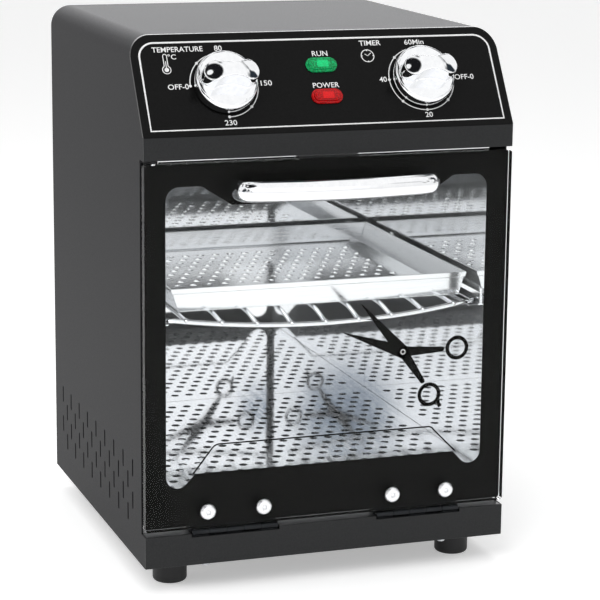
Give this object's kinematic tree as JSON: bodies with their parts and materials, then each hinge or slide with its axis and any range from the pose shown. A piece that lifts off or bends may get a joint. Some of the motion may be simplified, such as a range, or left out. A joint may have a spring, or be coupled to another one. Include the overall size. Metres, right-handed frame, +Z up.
{
  "type": "dry heat sterilizer",
  "caption": "Bench-top dry heat sterilizer: steel cabinet with a drop-down glass door, sloped panel with two turning knobs, a polished chamber, a pull-out wire rack and a perforated tray.",
  "frame": {"origin": "centre of the bounding box on the plane under the feet", "axes": "+X to the right seen from the front, -Y out of the front door, +Z up"},
  "size_m": [0.22, 0.258, 0.316],
  "materials": {
    "wrap_paint": "fine textured semi-gloss",
    "strip_paint": "semi-gloss",
    "panel_gloss": "gloss",
    "liner_steel": "mirror polished",
    "floor_steel": "bright rolled",
    "heater_sheath": "dull oxidised",
    "zinc_small": "bright zinc plated",
    "ceramic": "glazed ceramic",
    "control_case": "zinc plated sheet",
    "bulb_metal": "nickel plated",
    "run_green": "translucent moulded lens",
    "power_red": "translucent moulded lens",
    "lamp_case": "moulded",
    "terminal_plastic": "moulded",
    "gland_rubber": "matt moulded",
    "catch_black": "moulded case",
    "bumper_rubber": "matt",
    "hinge_steel": "satin stainless",
    "pin_steel": "ground steel",
    "foot_rubber": "matt moulded",
    "door_glass": "clear float glass",
    "door_print": "fired black print",
    "handle_chrome": "mirror chrome",
    "screw_chrome": "mirror chrome",
    "knob_chrome": "mirror chrome",
    "rack_chrome": "bright wire",
    "tray_steel": "bright folded sheet"
  },
  "bodies": {
    "cabinet": {"outer_shell": "wrap_paint", "rear_panel": "wrap_paint", "base_pan": "wrap_paint", "base_strip": "strip_paint", "header_strip": "strip_paint", "control_panel": "panel_gloss", "front_frame": "liner_steel", "chamber_walls": "liner_steel", "chamber_back": "liner_steel", "shelf_rail_left": "liner_steel", "shelf_rail_right": "liner_steel", "heater_well": "floor_steel", "perforated_floor": "floor_steel", "tubular_heater": "heater_sheath", "heater_clips": "zinc_small", "bulb_clip": "zinc_small", "control_nuts": "zinc_small", "foot_screws": "zinc_small", "base_strip_screws": "zinc_small", "rear_screws": "zinc_small", "heater_terminals": "ceramic", "thermostat_body": "control_case", "timer_body": "control_case", "thermostat_bulb": "bulb_metal", "run_lamp_lens": "run_green", "power_lamp_lens": "power_red", "run_lamp_body": "lamp_case", "power_lamp_body": "lamp_case", "terminal_block": "terminal_plastic", "cord_gland": "gland_rubber", "magnet_catch": "catch_black", "door_bumpers": "bumper_rubber", "hinge_base_leaf_left": "hinge_steel", "hinge_base_leaf_right": "hinge_steel", "hinge_pin_left": "pin_steel", "hinge_pin_right": "pin_steel", "foot_front_left": "foot_rubber", "foot_front_right": "foot_rubber", "foot_rear_left": "foot_rubber", "foot_rear_right": "foot_rubber"},
    "door": {"door_glass": "door_glass", "door_mask": "door_print", "door_handle": "handle_chrome", "handle_screws": "zinc_small", "door_screws": "screw_chrome", "hinge_nuts": "zinc_small", "strike_plate": "zinc_small", "hinge_door_leaf_left": "hinge_steel", "hinge_door_leaf_right": "hinge_steel"},
    "temperature_control": {"temperature_knob": "knob_chrome", "thermostat_shaft": "pin_steel"},
    "timer_control": {"timer_knob": "knob_chrome", "timer_shaft": "pin_steel"},
    "rack": {"rack_frame": "rack_chrome", "rack_front_rod": "rack_chrome", "rack_wires": "rack_chrome"},
    "tray": {"tray_frame": "tray_steel", "tray_base": "tray_steel"}
  },
  "joints": [
    {"name": "door_hinge", "type": "hinge", "parent": "cabinet", "child": "door", "pos_m": [0, -0.1025, 0.0349], "axis": [1, 0, 0], "range_deg": [0, 90]},
    {"name": "temperature_turn", "type": "hinge", "parent": "cabinet", "child": "temperature_control", "pos_m": [-0.059, -0.08843, 0.28893], "axis": [0, 0.8408, -0.5414], "range_deg": [0, 270]},
    {"name": "timer_turn", "type": "hinge", "parent": "cabinet", "child": "timer_control", "pos_m": [0.059, -0.08843, 0.28893], "axis": [0, 0.8408, -0.5414], "range_deg": [0, 270]},
    {"name": "rack_slide", "type": "slide", "parent": "cabinet", "child": "rack", "axis": [0, -1, 0], "range_m": [0, 0.09]},
    {"name": "tray_slide", "type": "slide", "parent": "rack", "child": "tray", "axis": [0, -1, 0], "range_m": [0, 0.05]}
  ],
  "couplings": [
    {"joint": "rack_slide", "follows": "door_hinge", "m_per_rad": 0.0572},
    {"joint": "tray_slide", "follows": "door_hinge", "m_per_rad": 0.0318}
  ]
}
